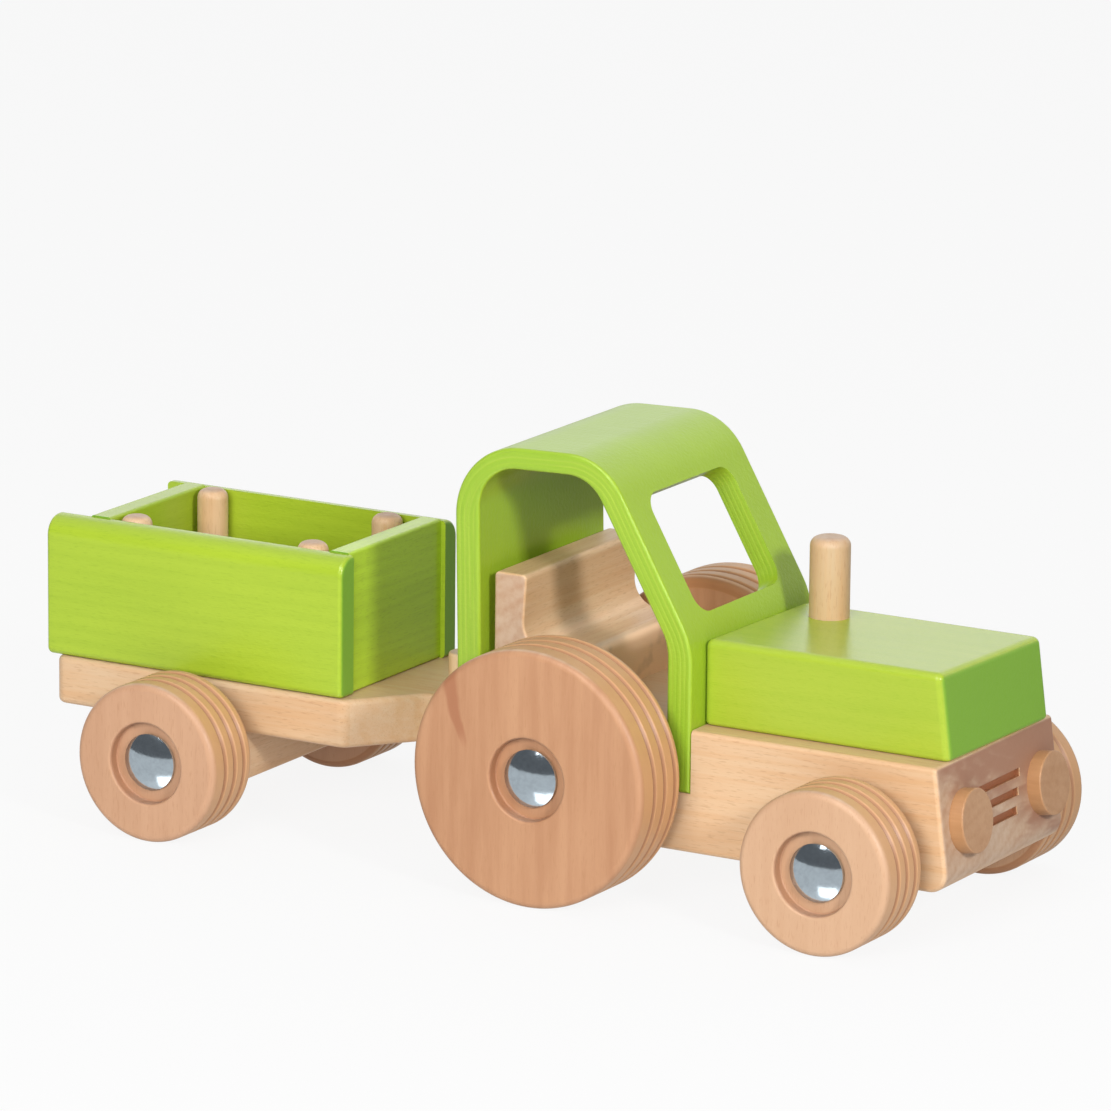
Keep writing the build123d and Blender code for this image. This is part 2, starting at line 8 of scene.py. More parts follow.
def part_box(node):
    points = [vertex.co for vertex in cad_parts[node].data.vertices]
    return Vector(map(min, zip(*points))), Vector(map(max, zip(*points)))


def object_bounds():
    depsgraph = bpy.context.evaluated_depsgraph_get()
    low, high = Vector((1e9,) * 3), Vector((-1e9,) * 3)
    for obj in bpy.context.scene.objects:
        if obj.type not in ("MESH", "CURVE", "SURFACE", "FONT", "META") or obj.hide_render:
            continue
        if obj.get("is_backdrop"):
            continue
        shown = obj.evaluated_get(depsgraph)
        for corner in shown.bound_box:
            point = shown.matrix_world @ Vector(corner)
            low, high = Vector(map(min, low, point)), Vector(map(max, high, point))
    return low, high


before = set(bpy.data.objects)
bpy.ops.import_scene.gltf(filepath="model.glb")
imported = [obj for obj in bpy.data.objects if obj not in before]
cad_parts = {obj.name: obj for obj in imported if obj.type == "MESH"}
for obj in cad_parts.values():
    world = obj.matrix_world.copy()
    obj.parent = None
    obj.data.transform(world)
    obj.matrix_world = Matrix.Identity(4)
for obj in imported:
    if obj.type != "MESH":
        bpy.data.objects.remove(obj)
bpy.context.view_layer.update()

bl_info = {
    "name": "Wooden Toy Tractor",
    "version": (1, 0, 0),
    "blender": (4, 5, 0),
    "location": "View3D > Sidebar > Toy Tractor",
    "description": "Finishes, lights and camera for a wooden toy tractor with its hitched trailer",
    "category": "Object",
}

MILLIMETRES = 1000.0
ALONG_X = (1.0, 0.0, 0.0)
ALONG_Y = (0.0, 1.0, 0.0)
ALONG_Z = (0.0, 0.0, 1.0)

# How far each step of a piece's shift moves its cut along the grain and the two ways across it
CUT_SHIFTS = (3.7, 1.0, -0.6)

# Figure of the wood in millimetres: length along the grain, then width across it
WANDER_GRAIN = (90, 18)
CLOUD_GRAIN = (70, 19)
STREAK_LENGTH = 42
STREAK_WIDTH = 1.5
WHEEL_STREAK_WIDTH = 3.2

# Millimetres that the rings wander each way across the grain, and a fleck's length to its width
RING_WANDER = (16, 10)
FLECK_SLIMNESS = 8

# The tree's pith across the grain in millimetres, from the origin before a piece's shift
BODY_PITH = (64, -90)
SEAT_PITH = (60, 20)
TRAILER_PITH = (30, -60)
BOARD_PITH = (70, -60)

# Noise where each mark of the wood begins to show and where it is full
STREAK_RANGE = (0.3, 0.72)
CLOUD_RANGE = (0.3, 0.7)
RAY_RANGE = (0.58, 0.72)
END_STREAK_RANGE = (0.35, 0.7)
LACQUER_STREAK_RANGE = (0.3, 0.75)
LACQUER_RAY_RANGE = (0.56, 0.72)
PLY_RAY_RANGE = (0.6, 0.75)

# How squarely a face cuts across the grain where it begins to look sawn and where it fully does
SAWN_RANGE = (0.7, 0.97)

# The nose's heartwood: its centre in shares of the block's half width and height, and its spread
HEART_CENTRE = (0.3, 1.5)
HEART_RINGS = 5
HEART_START = 0.7
HEART_FADE = 0.42

# The nose's slant, and how far its top stands behind the block's foremost edge, in metres
NOSE_SLANT = math.radians(7.6)
NOSE_SETBACK = 0.0034

# The scorched slots in metres: depth behind the nose's face, and reach from their middle
SCORCH_DEPTH = (0.00015, 0.0005)
SLOTS_HALF_HEIGHT = (0.008, 0.0085)
SLOTS_HALF_WIDTH = (0.0118, 0.0122)

# The seat: how squarely its front faces ahead, and where the low front ends in its height; they bound
# the painted light on its low front
SEAT_FRONT_RANGE = (0.4, 0.9)
SEAT_LOW_RANGE = (0.42, 0.5)
SMUDGE_RANGE = (0.52, 0.72)

# Where a wheel's tread begins, in shares of its radius and in metres in from its face
TREAD_EDGE = (0.9, 0.92)
TREAD_START = (0.0008, 0.0022)

# Share of a groove's depth over which the painted shade in it fades out toward the rim
GROOVE_FADE = 0.45

# The wall and the edge of a wheel's hub recess, in shares of the recess's radius: where its painted
# shade deepens and where it ends
RECESS_WALL = (0.9, 0.96)
RECESS_EDGE = (0.97, 1.0)

# The near rear wheel's resin streak, in shares of the wheel's radius
RESIN_ASIDE = 0.43
RESIN_LEAN = 0.26
RESIN_WANDER = 0.14
RESIN_FOOT = 0.1
RESIN_FOOT_WIDTH = 0.02
RESIN_WIDENING = 0.1
RESIN_EDGE = (0.55, 1.25)
RESIN_START = (0.14, 0.34)

# How squarely the cab's faces look up, and how squarely its layered edges look aside
LEVEL_RANGE = (0.45, 0.8)
EDGE_RANGE = (0.6, 0.9)

# Worn patches along the cab's layered edges: length in millimetres, and where they show
WORN_LENGTH = 30
WORN_RANGE = (0.35, 0.7)

# Corners of the bent cab's outline from its box, and its bends, in millimetres
CAB_REAR_FOOT_AHEAD = 1.3
CAB_REAR_TOP_BEHIND = 0.4
CAB_ROOF_REAR_DROP = 2.0
CAB_ROOF_FRONT_DROP = 0.1
CAB_SCREEN_RUN = 24.8
CAB_SCREEN_FOOT = 65.6
CAB_REAR_BEND = 18.5
CAB_FRONT_BEND = 17.0
CAB_FOOT_BEND = 20.0
BEND_EDGE = 0.01

# Turning marks of the steel: length and width in millimetres, where they show, and their height
# in metres
TURNING_GRAIN = (3, 1.4)
TURNING_RANGE = (0.35, 0.7)
TURNING_DEPTH = 0.00002

# Where the camera looks, behind the rear axle and above the floor, and how high the lights aim
VIEW_BEHIND_AXLE = 0.02419
VIEW_HEIGHT = 0.07469
AIM_HEIGHT = 0.045

# Width of the camera's sensor in millimetres
SENSOR_WIDTH = 36.0

# The floor's size in metres, and the share of glow in what the camera sees of it
FLOOR_SIZE = 14.0
FLOOR_SEEN_GLOW = 0.93

# The floor as the tractor is lit by it: its glow near the camera and far from it, and its shine
FLOOR_NEAR_GLOW = 0.8
FLOOR_FAR_GLOW = 0.2
FLOOR_FAR_RANGE = (-0.02, 0.12)
FLOOR_SHINE = 0.3
FLOOR_ROUGHNESS = 0.14

# The room that lights the tractor, with its bright wall, and the backdrop that the camera sees
BRIGHT_AZIMUTH = math.radians(208)
BRIGHT_ELEVATION = math.radians(14)
BRIGHT_RANGE = (0.3, 0.95)
OVERHEAD_RANGE = (0.5, 1.0)
DARK_WALL = (0.13, 0.13, 0.135)
BRIGHT_WALL = (1.22, 1.22, 1.22)
CEILING = (0.75, 0.75, 0.75)
BACKDROP = (0.947, 0.947, 0.947)


# ---------------------------------------------------------------- sizes and colours


def colour_property(name, description, default):
    """A colour that the user can change in the sidebar."""
    return bpy.props.FloatVectorProperty(
        name=name, description=description, default=default,
        subtype="COLOR", size=3, min=0.0, max=1.0,
    )


def length_property(name, description, default):
    """A length in metres that the user can change in the sidebar."""
    return bpy.props.FloatProperty(
        name=name, description=description, default=default,
        min=0.0, unit="LENGTH", precision=5,
    )


def share_property(name, description, default):
    """A share from nothing to everything."""
    return bpy.props.FloatProperty(
        name=name, description=description, default=default,
        min=0.0, max=1.0, subtype="FACTOR",
    )


class BeechSettings(bpy.types.PropertyGroup):
    """Colours and grain of the clear-finished beech."""

    pale: colour_property("Pale wood", "Early wood of the body and trailer", (0.70, 0.50, 0.31))
    dark: colour_property("Dark wood", "Late wood of the body and trailer", (0.58, 0.32, 0.15))
    fleck: colour_property("Flecks", "Short dark rays along the grain", (0.36, 0.17, 0.075))
    end: colour_property("End grain", "Tint of the sawn ends", (0.53, 0.395, 0.29))
    end_dark: colour_property("Dark end grain", "Rings in the sawn ends", (0.38, 0.215, 0.125))
    sanded: colour_property("Sanded end", "Sawn ends of the trailer's base", (0.88, 0.72, 0.57))
    # Painted light: a lighter colour for the seat's low front face, standing in for the light that
    # reaches it
    lit_seat_front: colour_property("Seat front", "The seat's low front face", (1.0, 0.66, 0.43))
    rear_pale: colour_property("Pale rear wheel", "Early wood of the rear wheels", (0.48, 0.255, 0.134))
    rear_dark: colour_property("Dark rear wheel", "Late wood of the rear wheels", (0.36, 0.165, 0.078))
    front_pale: colour_property(
        "Pale front wheel", "Early wood of the front wheels", (0.53, 0.325, 0.195),
    )
    front_dark: colour_property(
        "Dark front wheel", "Late wood of the front wheels", (0.43, 0.235, 0.125),
    )
    trailer_pale: colour_property(
        "Pale trailer wheel", "Early wood of the trailer wheels", (0.53, 0.305, 0.18),
    )
    trailer_dark: colour_property(
        "Dark trailer wheel", "Late wood of the trailer wheels", (0.38, 0.19, 0.10),
    )
    # Tread colour: a warmer tone of the turned wood together with painted light, lighter to stand for
    # the light the treads catch
    tread_tone_and_light: colour_property("Tread", "Tanned wood of the turned treads", (0.57, 0.31, 0.14))
    # Painted shade: a darker colour laid into the treads' grooves
    groove_shade: colour_property("Groove", "Darker wood in the treads' grooves", (0.33, 0.14, 0.06))
    lamp_pale: colour_property("Pale lamp wood", "Early wood of the headlights", (0.45, 0.235, 0.105))
    lamp_dark: colour_property("Dark lamp wood", "Late wood of the headlights", (0.35, 0.17, 0.07))
    burnt: colour_property("Burnt slots", "Scorched wood in the sawn slots", (0.33, 0.115, 0.045))
    heart: colour_property("Heartwood", "Brown heart in the nose's end grain", (0.33, 0.165, 0.10))
    resin: colour_property("Resin streak", "Darker streak in the near rear wheel", (0.33, 0.13, 0.06))
    # Painted shade: a browner, darker colour laid into the hub recess round the caps, deepest on its
    # wall
    shaded_recess: colour_property("Hub recess", "Browner wood round the hub caps", (0.27, 0.10, 0.045))
    groove_depth: length_property("Groove depth", "Depth of the treads' grooves", 0.0009)
    recess_radius: length_property("Recess radius", "Radius of the recess round the caps", 0.0108)
    ring_spacing: length_property("Ring spacing", "Distance between growth rings", 0.0034)
    fleck_length: length_property("Fleck length", "Length of the rays along the grain", 0.0026)
    grain_depth: length_property("Grain depth", "Height of the open grain", 0.00006)
    clouds: share_property("Clouds", "Strength of the slow clouds in the wood", 0.34)
    rays: share_property("Rays", "Strength of the flecks", 0.3)
    roughness: share_property("Roughness", "Roughness of the wood between its streaks", 0.42)
    coat: share_property("Clear coat", "Weight of the clear finish", 0.18)
    coat_roughness: share_property("Coat roughness", "Roughness of the clear finish", 0.32)


class LacquerSettings(bpy.types.PropertyGroup):
    """Colours and gloss of the green lacquer."""

    green: colour_property("Green", "Colour of the lacquer", (0.37, 0.505, 0.031))
    deep_green: colour_property("Deep green", "Lacquer where the grain drinks it", (0.265, 0.395, 0.021))
    # Painted light: the front board's green is lighter than the other boards' to stand in for the light
    # on that board
    lit_front_green: colour_property(
        "Front board green", "Lacquer on the box's front board", (0.46, 0.66, 0.033),
    )
    hood_green: colour_property("Hood green", "Lacquer on the hood", (0.352, 0.455, 0.034))
    cab_green: colour_property("Cab green", "Lacquer on the plywood cab", (0.32, 0.48, 0.027))
    end_green: colour_property("End green", "Lacquer soaked into the sawn ends", (0.18, 0.36, 0.028))
    ply_joint: colour_property(
        "Ply joints", "Paler lines between the layers of the plywood", (0.52, 0.62, 0.08),
    )
    gloss: share_property("Gloss", "Weight of the clear coat", 0.1)
    roughness: share_property("Roughness", "Roughness of the lacquer on solid wood", 0.2)
    cab_roughness: share_property("Cab roughness", "Roughness of the lacquer on plywood", 0.27)
    grain_depth: length_property("Grain depth", "Height of the grain under the lacquer", 0.00008)
    ply_thickness: length_property("Ply thickness", "Thickness of one layer of the cab", 0.00125)


class MetalSettings(bpy.types.PropertyGroup):
    """Colours of the caps and axles."""

    cap: colour_property("Cap", "Polished steel of the hub caps", (0.63, 0.73, 0.80))
    axle: colour_property("Axle", "Drawn steel of the axles", (0.52, 0.52, 0.53))


class StudioSettings(bpy.types.PropertyGroup):
    """Floor, lights and camera."""

    floor: colour_property("Floor", "Pale studio floor", (0.96, 0.96, 0.96))
    key_power: bpy.props.FloatProperty(
        name="Key light", description="Power of the large softbox at the side", default=18.7,
        min=0.0, unit="POWER",
    )
    front_power: bpy.props.FloatProperty(
        name="Front light", description="Power of the small light in front", default=10.2,
        min=0.0, unit="POWER",
    )
    azimuth: bpy.props.FloatProperty(
        name="Azimuth", description="Camera's turn from the side toward the nose",
        default=math.radians(30.207), subtype="ANGLE",
    )
    elevation: bpy.props.FloatProperty(
        name="Elevation", description="Camera's height above the horizon",
        default=math.radians(13.537), subtype="ANGLE",
    )
    roll: bpy.props.FloatProperty(
        name="Roll", description="Camera's tilt about its own axis",
        default=math.radians(0.587), subtype="ANGLE",
    )
    distance: length_property("Distance", "Camera's distance from the tractor", 1.9667)
    lens: bpy.props.FloatProperty(
        name="Lens", description="Focal length of the camera", default=254.9,
        min=1.0, unit="CAMERA",
    )


SETTINGS = {
    "tractor_beech": BeechSettings,
    "tractor_lacquer": LacquerSettings,
    "tractor_metal": MetalSettings,
    "tractor_studio": StudioSettings,
}


# ---------------------------------------------------------------- shader maths


class Value:
    """A socket of a finish; arithmetic on it adds the Math nodes."""

    def __init__(self, finish, socket):
        self.finish = finish
        self.socket = socket

    def maths(self, operation, *terms):
        """Add one Math node to this value's finish."""
        return self.finish.node(
            "ShaderNodeMath", {"operation": operation}, dict(enumerate(terms)),
        )

    def __add__(self, other):
        return self.maths("ADD", self, other)

    def __radd__(self, other):
        return self.maths("ADD", other, self)

    def __sub__(self, other):
        return self.maths("SUBTRACT", self, other)

    def __rsub__(self, other):
        return self.maths("SUBTRACT", other, self)

    def __mul__(self, other):
        return self.maths("MULTIPLY", self, other)

    def __rmul__(self, other):
        return self.maths("MULTIPLY", other, self)

    def __truediv__(self, other):
        return self.maths("DIVIDE", self, other)

    def __rtruediv__(self, other):
        return self.maths("DIVIDE", other, self)

    def __pow__(self, other):
        return self.maths("POWER", self, other)

    def __abs__(self):
        return self.maths("ABSOLUTE", self)

    def wave(self):
        """A wave from 0 to 1 that repeats once for each unit."""
        return self.maths("SINE", self * math.tau) * 0.5 + 0.5

    def least(self, other):
        """The lower of two values."""
        return self.maths("MINIMUM", self, other)

    def step(self, start, end):
        """0 at the start, 1 at the end, smooth between."""
        return self.finish.node(
            "ShaderNodeMapRange", {"interpolation_type": "SMOOTHSTEP"},
            {"Value": self, "From Min": start, "From Max": end},
        )


class NodeBoard:
    """An empty node tree that nodes are added to, one call for each."""

    def __init__(self, tree):
        self.tree = tree
        tree.nodes.clear()

    def node(self, kind, settings=None, inputs=None, output=0):
        """Add a node: its settings first, then the values or links of its sockets."""
        added = self.tree.nodes.new(kind)
        for name, setting in (settings or {}).items():
            setattr(added, name, setting)
        open_sockets = [socket for socket in added.inputs if socket.enabled]
        for key, value in (inputs or {}).items():
            if isinstance(key, int):
                socket = open_sockets[key]
            else:
                socket = next(socket for socket in open_sockets if socket.name == key)
            if isinstance(value, Value):
                self.tree.links.new(value.socket, socket)
            else:
                socket.default_value = value
        outputs = [socket for socket in added.outputs if socket.enabled]
        if isinstance(output, int):
            return Value(self, outputs[output])
        return Value(self, next(socket for socket in outputs if socket.name == output))

    def part_of(self, vector, axis):
        """One component of a vector along an axis."""
        return self.node(
            "ShaderNodeVectorMath", {"operation": "DOT_PRODUCT"}, {0: vector, 1: axis}, "Value",
        )

    def joined(self, x, y, z):
        """Three values as one vector."""
        return self.node("ShaderNodeCombineXYZ", None, {"X": x, "Y": y, "Z": z})

    def noise(self, place, detail=2.0, roughness=0.5):
        """Noise from 0 to 1 on a place that is already scaled."""
        return self.node("ShaderNodeTexNoise", None, {
            "Vector": place, "Scale": 1.0, "Detail": detail, "Roughness": roughness,
        })

    def mixed(self, share, first, second):
        """Two colours mixed by a share from 0 to 1."""
        return self.node(
            "ShaderNodeMix", {"data_type": "RGBA", "clamp_factor": True},
            {"Factor": share, "A": opaque(first), "B": opaque(second)},
        )

    def blended(self, share, first, second):
        """Two shaders mixed by a share from 0 to 1."""
        return self.node("ShaderNodeMixShader", None, {0: share, 1: first, 2: second})

    def output(self, shader, kind="ShaderNodeOutputMaterial"):
        """Connect the last shader to the tree's output."""
        added = self.tree.nodes.new(kind)
        self.tree.links.new(shader.socket, added.inputs["Surface"])


class Finish(NodeBoard):
    """A procedural finish: a material, its nodes and its shader."""

    def __init__(self, name):
        self.material = bpy.data.materials.new(name)
        self.material.use_nodes = True
        super().__init__(self.material.node_tree)
        self.place = self.node("ShaderNodeTexCoord", output="Object")
        self.facing = self.node("ShaderNodeTexCoord", output="Normal")

    def surface(self, colour, roughness, height, depth, metallic=0.0, coat=0.0,
                coat_roughness=0.2):
        """Close the finish with its shader and its fine relief."""
        relief = self.node(
            "ShaderNodeBump", None, {"Strength": 1.0, "Distance": depth, "Height": height},
        )
        self.output(self.node("ShaderNodeBsdfPrincipled", None, {
            "Base Color": colour, "Roughness": roughness, "Metallic": metallic,
            "Coat Weight": coat, "Coat Roughness": coat_roughness, "Normal": relief,
        }))


def toned(colour, share):
    """A colour made darker: each part of it times a share."""
    return tuple(part * share for part in colour)


def opaque(colour):
    """A plain colour with its alpha, or a linked colour as it is."""
    return colour if isinstance(colour, Value) else (*colour, 1.0)


# ---------------------------------------------------------------- finishes


def grain_directions(grain):
    """The grain's own direction and the two across it."""
    axes = [ALONG_X, ALONG_Y, ALONG_Z]
    first = axes.index(grain)
    return axes[first], axes[(first + 1) % 3], axes[(first + 2) % 3]


def sawn_place(finish, grain, shift):
    """Millimetres along the grain and the two ways across it, from the piece's own cut."""
    return tuple(
        finish.part_of(finish.place, axis) * MILLIMETRES + shift * move
        for axis, move in zip(grain_directions(grain), CUT_SHIFTS)
    )


def sawn_end(finish, grain):
    """1 on the faces that cut across the grain, 0 along it."""
    return abs(finish.part_of(finish.facing, grain)).step(*SAWN_RANGE)


def grained_noise(finish, place, grain, detail, roughness=0.5):
    """Noise drawn out along the grain: grain is its length and its width in millimetres."""
    along, across, up = place
    length, width = grain
    return finish.noise(
        finish.joined(along / length, across / width, up / width), detail, roughness,
    )


def wood_figure(finish, grain, shift, pith, streak_width=STREAK_WIDTH):
    """Growth rings, streaks, flecks and slow clouds of a piece of beech, each from 0 to 1."""
    settings = bpy.context.scene.tractor_beech
    fleck_length = settings.fleck_length * MILLIMETRES
    place = sawn_place(finish, grain, shift)
    _, across, up = place
    wander = grained_noise(finish, place, WANDER_GRAIN, 3.0)
    from_pith_across = across - pith[0] + wander * RING_WANDER[0]
    from_pith_up = up - pith[1] + wander * RING_WANDER[1]
    pith_distance = (from_pith_across ** 2 + from_pith_up ** 2) ** 0.5
    rings = (pith_distance / (settings.ring_spacing * MILLIMETRES)).wave() ** 2
    streaks = grained_noise(finish, place, (STREAK_LENGTH, streak_width), 4.0, 0.62)
    fleck_grain = (fleck_length, fleck_length / FLECK_SLIMNESS)
    flecks = grained_noise(finish, place, fleck_grain, 1.0)
    clouds = grained_noise(finish, place, CLOUD_GRAIN, 2.0)
    return rings, streaks, flecks, clouds


def beech(name, pale, dark, grain, shift, pith=BODY_PITH, rings_share=0.16,
          streaks_share=0.46, streak_width=STREAK_WIDTH, sawn_tints=None, end_share=0.85,
          detail=None):
    """Clear-finished beech with rings, streaks, flecks and sawn ends."""
    settings = bpy.context.scene.tractor_beech
    finish = Finish(name)
    rings, streaks, flecks, clouds = wood_figure(finish, grain, shift, pith, streak_width)
    end = sawn_end(finish, grain)
    cloudy = clouds.step(*CLOUD_RANGE)
    streaky = streaks.step(*STREAK_RANGE)
    shade = rings * rings_share + streaky * streaks_share + cloudy * settings.clouds
    wood = finish.mixed(shade * 0.9, pale, dark)
    wood = finish.mixed(flecks.step(*RAY_RANGE) * settings.rays, wood, settings.fleck[:])
    sawn_shade = rings * 0.22 + cloudy * 0.4 + streaks.step(*END_STREAK_RANGE) * 0.25
    sawn_pale, sawn_dark = sawn_tints or (settings.end[:], settings.end_dark[:])
    sawn = finish.mixed(sawn_shade, sawn_pale, sawn_dark)
    colour = finish.mixed(end * end_share, wood, sawn)
    if detail:
        colour = detail(finish, colour)
    roughness = settings.roughness + streaks * 0.16 + end * 0.08
    height = streaks * 0.7 + flecks * 0.5
    finish.surface(
        colour, roughness, height, settings.grain_depth,
        coat=settings.coat, coat_roughness=settings.coat_roughness,
    )
    return finish.material


def nose_figure(finish, wood):
    """The brown heartwood at the nose's upper left, with the scorched slots sawn across it."""
    settings = bpy.context.scene.tractor_beech
    low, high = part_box("chassis")
    y = finish.part_of(finish.place, ALONG_Y) / high.y
    z = (finish.part_of(finish.place, ALONG_Z) - low.z) / (high.z - low.z)
    drift = finish.noise(finish.joined(y * 1.2, y + z * 2.4, z * 5.0), 3.0)
    from_heart_y, from_heart_z = y - HEART_CENTRE[0], z - HEART_CENTRE[1]
    arc_distance = (from_heart_y ** 2 + from_heart_z ** 2) ** 0.5
    arcs = (arc_distance * HEART_RINGS + drift * 3).wave()
    toward_heart = y * 0.32 + z * 0.7 + drift * 0.9 + arcs * 0.14
    heart = (toward_heart - HEART_START).step(0.0, HEART_FADE)
    end = sawn_end(finish, ALONG_X)
    stained = finish.mixed(heart * end * 0.95, wood, settings.heart[:])
    return burnt_slots(finish, stained)


def seat_light_and_smudges(finish, wood):
    """Painted light on the seat's low front face, coloured lighter to stand for the light it catches,
    with brown smudges over it.
    """
    settings = bpy.context.scene.tractor_beech
    low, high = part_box("seat")
    facing_front = finish.part_of(finish.facing, ALONG_X).step(*SEAT_FRONT_RANGE)
    up = (finish.part_of(finish.place, ALONG_Z) - low.z) / (high.z - low.z)
    below_back = 1 - up.step(*SEAT_LOW_RANGE)
    y = finish.part_of(finish.place, ALONG_Y) * MILLIMETRES
    smudges = finish.noise(finish.joined(0.0, y / 7, up * 6), 2.0).step(*SMUDGE_RANGE)
    # Painted light: the front-facing low part is mixed toward the lighter seat-front colour
    front = finish.mixed(smudges * 0.3, settings.lit_seat_front[:], settings.end_dark[:])
    return finish.mixed(facing_front * below_back * 0.95, wood, front)


def turned_wood(node, finish, wood):
    """A wheel's tread with its warmer tone and painted light, painted shade in its grooves and
    in its hub recess, and the resin streak in the near rear wheel."""
    settings = bpy.context.scene.tractor_beech
    low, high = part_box(node)
    rim = (high.z - low.z) / 2
    face = low.y if node.endswith("right") else high.y
    x = finish.part_of(finish.place, ALONG_X) - (low.x + high.x) / 2
    z = finish.part_of(finish.place, ALONG_Z) - rim
    inward = abs(finish.part_of(finish.place, ALONG_Y) - face)
    radius = (x ** 2 + z ** 2) ** 0.5
    past_face = inward.step(*TREAD_START)
    tread_tone_and_light = radius.step(*(rim * edge for edge in TREAD_EDGE)) * past_face
    # Warmer tone and painted light on the tread
    wood = finish.mixed(tread_tone_and_light * 0.75, wood, settings.tread_tone_and_light[:])
    groove_start = rim - settings.groove_depth * GROOVE_FADE
    groove_shade = tread_tone_and_light * (1 - radius.step(groove_start, rim))
    # Painted shade in the grooves, below the lands
    wood = finish.mixed(groove_shade * 0.75, wood, settings.groove_shade[:])
    shaded_recess = settings.recess_radius
    inside = 1 - radius.step(*(shaded_recess * edge for edge in RECESS_EDGE))
    wall_shade = radius.step(*(shaded_recess * edge for edge in RECESS_WALL))
    # Painted shade in the hub recess, deepest on its wall
    wood = finish.mixed(inside * (0.1 + wall_shade * 0.35), wood, settings.shaded_recess[:])
    if node == "rear_wheel_right":
        wood = resin_streak(finish, wood, x / rim, z / rim)
    return wood


def resin_streak(finish, wood, x, z):
    """A darker streak that runs down from the rim; x and z are shares of the wheel's radius."""
    settings = bpy.context.scene.tractor_beech
    wander = finish.noise(finish.joined(x * 1.5, 0.0, z * 3.0), 2.0)
    aside = abs(x + RESIN_ASIDE + z * RESIN_LEAN + wander * RESIN_WANDER)
    half_width = RESIN_FOOT_WIDTH + (z - RESIN_FOOT) * RESIN_WIDENING
    band = 1 - (aside / half_width).step(*RESIN_EDGE)
    above_hub = z.step(*RESIN_START)
    return finish.mixed(band * above_hub * 0.85, wood, settings.resin[:])


def burnt_slots(finish, wood):
    """Scorch the walls and floors of the three slots sawn across the nose."""
    settings = bpy.context.scene.tractor_beech
    _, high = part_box("chassis")
    lamp_low, lamp_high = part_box("headlight_left")
    middle = (lamp_low.z + lamp_high.z) / 2
    x = finish.part_of(finish.place, ALONG_X)
    y = finish.part_of(finish.place, ALONG_Y)
    z = finish.part_of(finish.place, ALONG_Z)
    behind_face = (high.z - z) * math.tan(NOSE_SLANT) + (high.x - NOSE_SETBACK) - x
    inside = behind_face.step(*SCORCH_DEPTH)
    near_middle = 1 - abs(z - middle).step(*SLOTS_HALF_HEIGHT)
    between = 1 - abs(y).step(*SLOTS_HALF_WIDTH)
    return finish.mixed(inside * near_middle * between * 0.9, wood, settings.burnt[:])


def green_wood(name, green, grain, shift):
    """Green lacquer over solid beech, with the grain just telling through it."""
    settings = bpy.context.scene.tractor_lacquer
    finish = Finish(name)
    rings, streaks, flecks, clouds = wood_figure(finish, grain, shift, BOARD_PITH)
    end = sawn_end(finish, grain)
    shade = rings * 0.12 + streaks.step(*LACQUER_STREAK_RANGE) * 0.2
    shade = shade + clouds.step(*CLOUD_RANGE) * 0.25 + flecks.step(*LACQUER_RAY_RANGE) * 0.36
    colour = finish.mixed(shade, green, settings.deep_green[:])
    colour = finish.mixed(end, colour, settings.end_green[:])
    speckle = finish.noise(finish.joined(*sawn_place(finish, grain, shift)), 3.0, 0.6)
    roughness = settings.roughness + streaks * 0.1 + end * 0.25
    height = streaks * 0.5 + flecks * 0.5 + speckle * 0.9
    finish.surface(
        colour, roughness, height, settings.grain_depth,
        coat=settings.gloss, coat_roughness=0.22,
    )
    return finish.material


def green_ply(name):
    """Green lacquer over bent plywood: veneer grain on the faces, layers on the edges."""
    settings = bpy.context.scene.tractor_lacquer
    finish = Finish(name)
    _, streaks, flecks, clouds = wood_figure(finish, ALONG_Z, 5, BOARD_PITH)
    _, cross_streaks, cross_flecks, _ = wood_figure(finish, ALONG_X, 9, BOARD_PITH)
    level = abs(finish.part_of(finish.facing, ALONG_Z)).step(*LEVEL_RANGE)
    edge = abs(finish.part_of(finish.facing, ALONG_Y)).step(*EDGE_RANGE)
    grain = streaks * (1 - level) + cross_streaks * level
    rays = flecks * (1 - level) + cross_flecks * level
    shade = grain.step(*LACQUER_STREAK_RANGE) * 0.16 + clouds.step(*CLOUD_RANGE) * 0.2
    shade = shade + rays.step(*PLY_RAY_RANGE) * 0.2
    colour = finish.mixed(shade, settings.cab_green[:], settings.deep_green[:])
    colour = finish.mixed(edge * 0.35, colour, settings.end_green[:])
    layers = cab_skin_depth(finish) / (settings.ply_thickness * MILLIMETRES)
    joints = (layers.wave() ** 3) * edge
    along, across, _ = sawn_place(finish, ALONG_Z, 2)
    run = finish.joined(layers * 1.4, along / WORN_LENGTH, across / WORN_LENGTH)
    worn = finish.noise(run, 2.0).step(*WORN_RANGE)
    joint_share = joints * worn * 0.22 + edge * worn * 0.1
    colour = finish.mixed(joint_share, colour, settings.ply_joint[:])
    speckle = finish.noise(finish.joined(*sawn_place(finish, ALONG_Z, 3)), 3.0, 0.6)
    roughness = settings.cab_roughness + grain * 0.1
    height = grain * 0.15 + rays * 0.4 + speckle * 1.3 - joints * 0.5
    finish.surface(
        colour, roughness, height, settings.grain_depth,
        coat=settings.gloss, coat_roughness=0.2,
    )
    return finish.material


def cab_outline():
    """The cab's outer corners in millimetres, from its rear foot to its front foot, each with
    the radius of its bend."""
    low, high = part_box("cab")
    rear, front, top = (length * MILLIMETRES for length in (low.x, high.x, high.z))
    foot = low.z * MILLIMETRES
    return [
        (rear + CAB_REAR_FOOT_AHEAD, foot, 0.0),
        (rear - CAB_REAR_TOP_BEHIND, top - CAB_ROOF_REAR_DROP, CAB_REAR_BEND),
        (front - CAB_SCREEN_RUN, top - CAB_ROOF_FRONT_DROP, CAB_FRONT_BEND),
        (front, CAB_SCREEN_FOOT, CAB_FOOT_BEND),
        (front, foot, 0.0),
    ]


